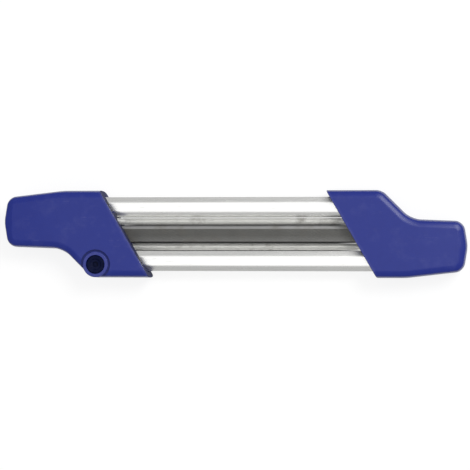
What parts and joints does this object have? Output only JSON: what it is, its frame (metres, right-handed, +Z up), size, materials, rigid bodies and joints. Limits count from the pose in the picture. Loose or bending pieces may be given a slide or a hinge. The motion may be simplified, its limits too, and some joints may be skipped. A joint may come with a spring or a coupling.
{
  "type": "manual chainsaw sharpener",
  "caption": "Two-handed file guide: moulded handles with slanted rims, guide rails, round files and a flat depth-gauge file, and a quarter-turn lock that frees one handle.",
  "frame": {"origin": "middle of the tool's outline, on the surface that its handles rest on", "axes": "+X along the files towards the handle without the lock, +Y across towards the back rail, +Z up"},
  "size_m": [0.34, 0.064, 0.028],
  "materials": {
    "blue_plastic": "fine moulded texture, semi-matt",
    "black_plastic": "moulded, satin",
    "holder_plastic": "moulded, matt",
    "rail_metal": "drawn, satin bright",
    "file_steel": "cut file teeth, grey",
    "fastener_steel": "zinc plated"
  },
  "bodies": {
    "frame": {"right_upper_shell": "blue_plastic", "right_lower_shell": "blue_plastic", "right_file_holder": "holder_plastic", "right_root_screw": "fastener_steel", "right_waist_screw": "fastener_steel", "right_grip_screw": "fastener_steel", "back_rail": "rail_metal", "front_rail": "rail_metal", "back_rail_pin": "fastener_steel", "front_rail_pin": "fastener_steel", "flat_file": "file_steel"},
    "left_handle": {"left_upper_shell": "blue_plastic", "left_lower_shell": "blue_plastic", "left_file_holder": "holder_plastic", "left_root_screw": "fastener_steel", "left_waist_screw": "fastener_steel", "left_grip_screw": "fastener_steel", "lock_washer": "fastener_steel"},
    "lock": {"lock_knob": "black_plastic", "lock_cam": "fastener_steel", "lock_screw": "fastener_steel"},
    "back_file": {"back_round_file": "file_steel"},
    "front_file": {"front_round_file": "file_steel"}
  },
  "joints": [
    {"name": "left_handle_slide", "type": "slide", "parent": "frame", "child": "left_handle", "axis": [-1, 0, 0], "range_m": [0, 0.036]},
    {"name": "lock_turn", "type": "hinge", "parent": "left_handle", "child": "lock", "pos_m": [-0.10064, -0.0222, 0.014], "axis": [0, 0, 1], "range_deg": [0, 90]},
    {"name": "back_file_spin", "type": "hinge", "parent": "frame", "child": "back_file", "pos_m": [0.0035, 0.00935, 0.01724], "axis": [1, 0, 0], "continuous": true},
    {"name": "front_file_spin", "type": "hinge", "parent": "frame", "child": "front_file", "pos_m": [0.0035, -0.00935, 0.01076], "axis": [1, 0, 0], "continuous": true}
  ]
}
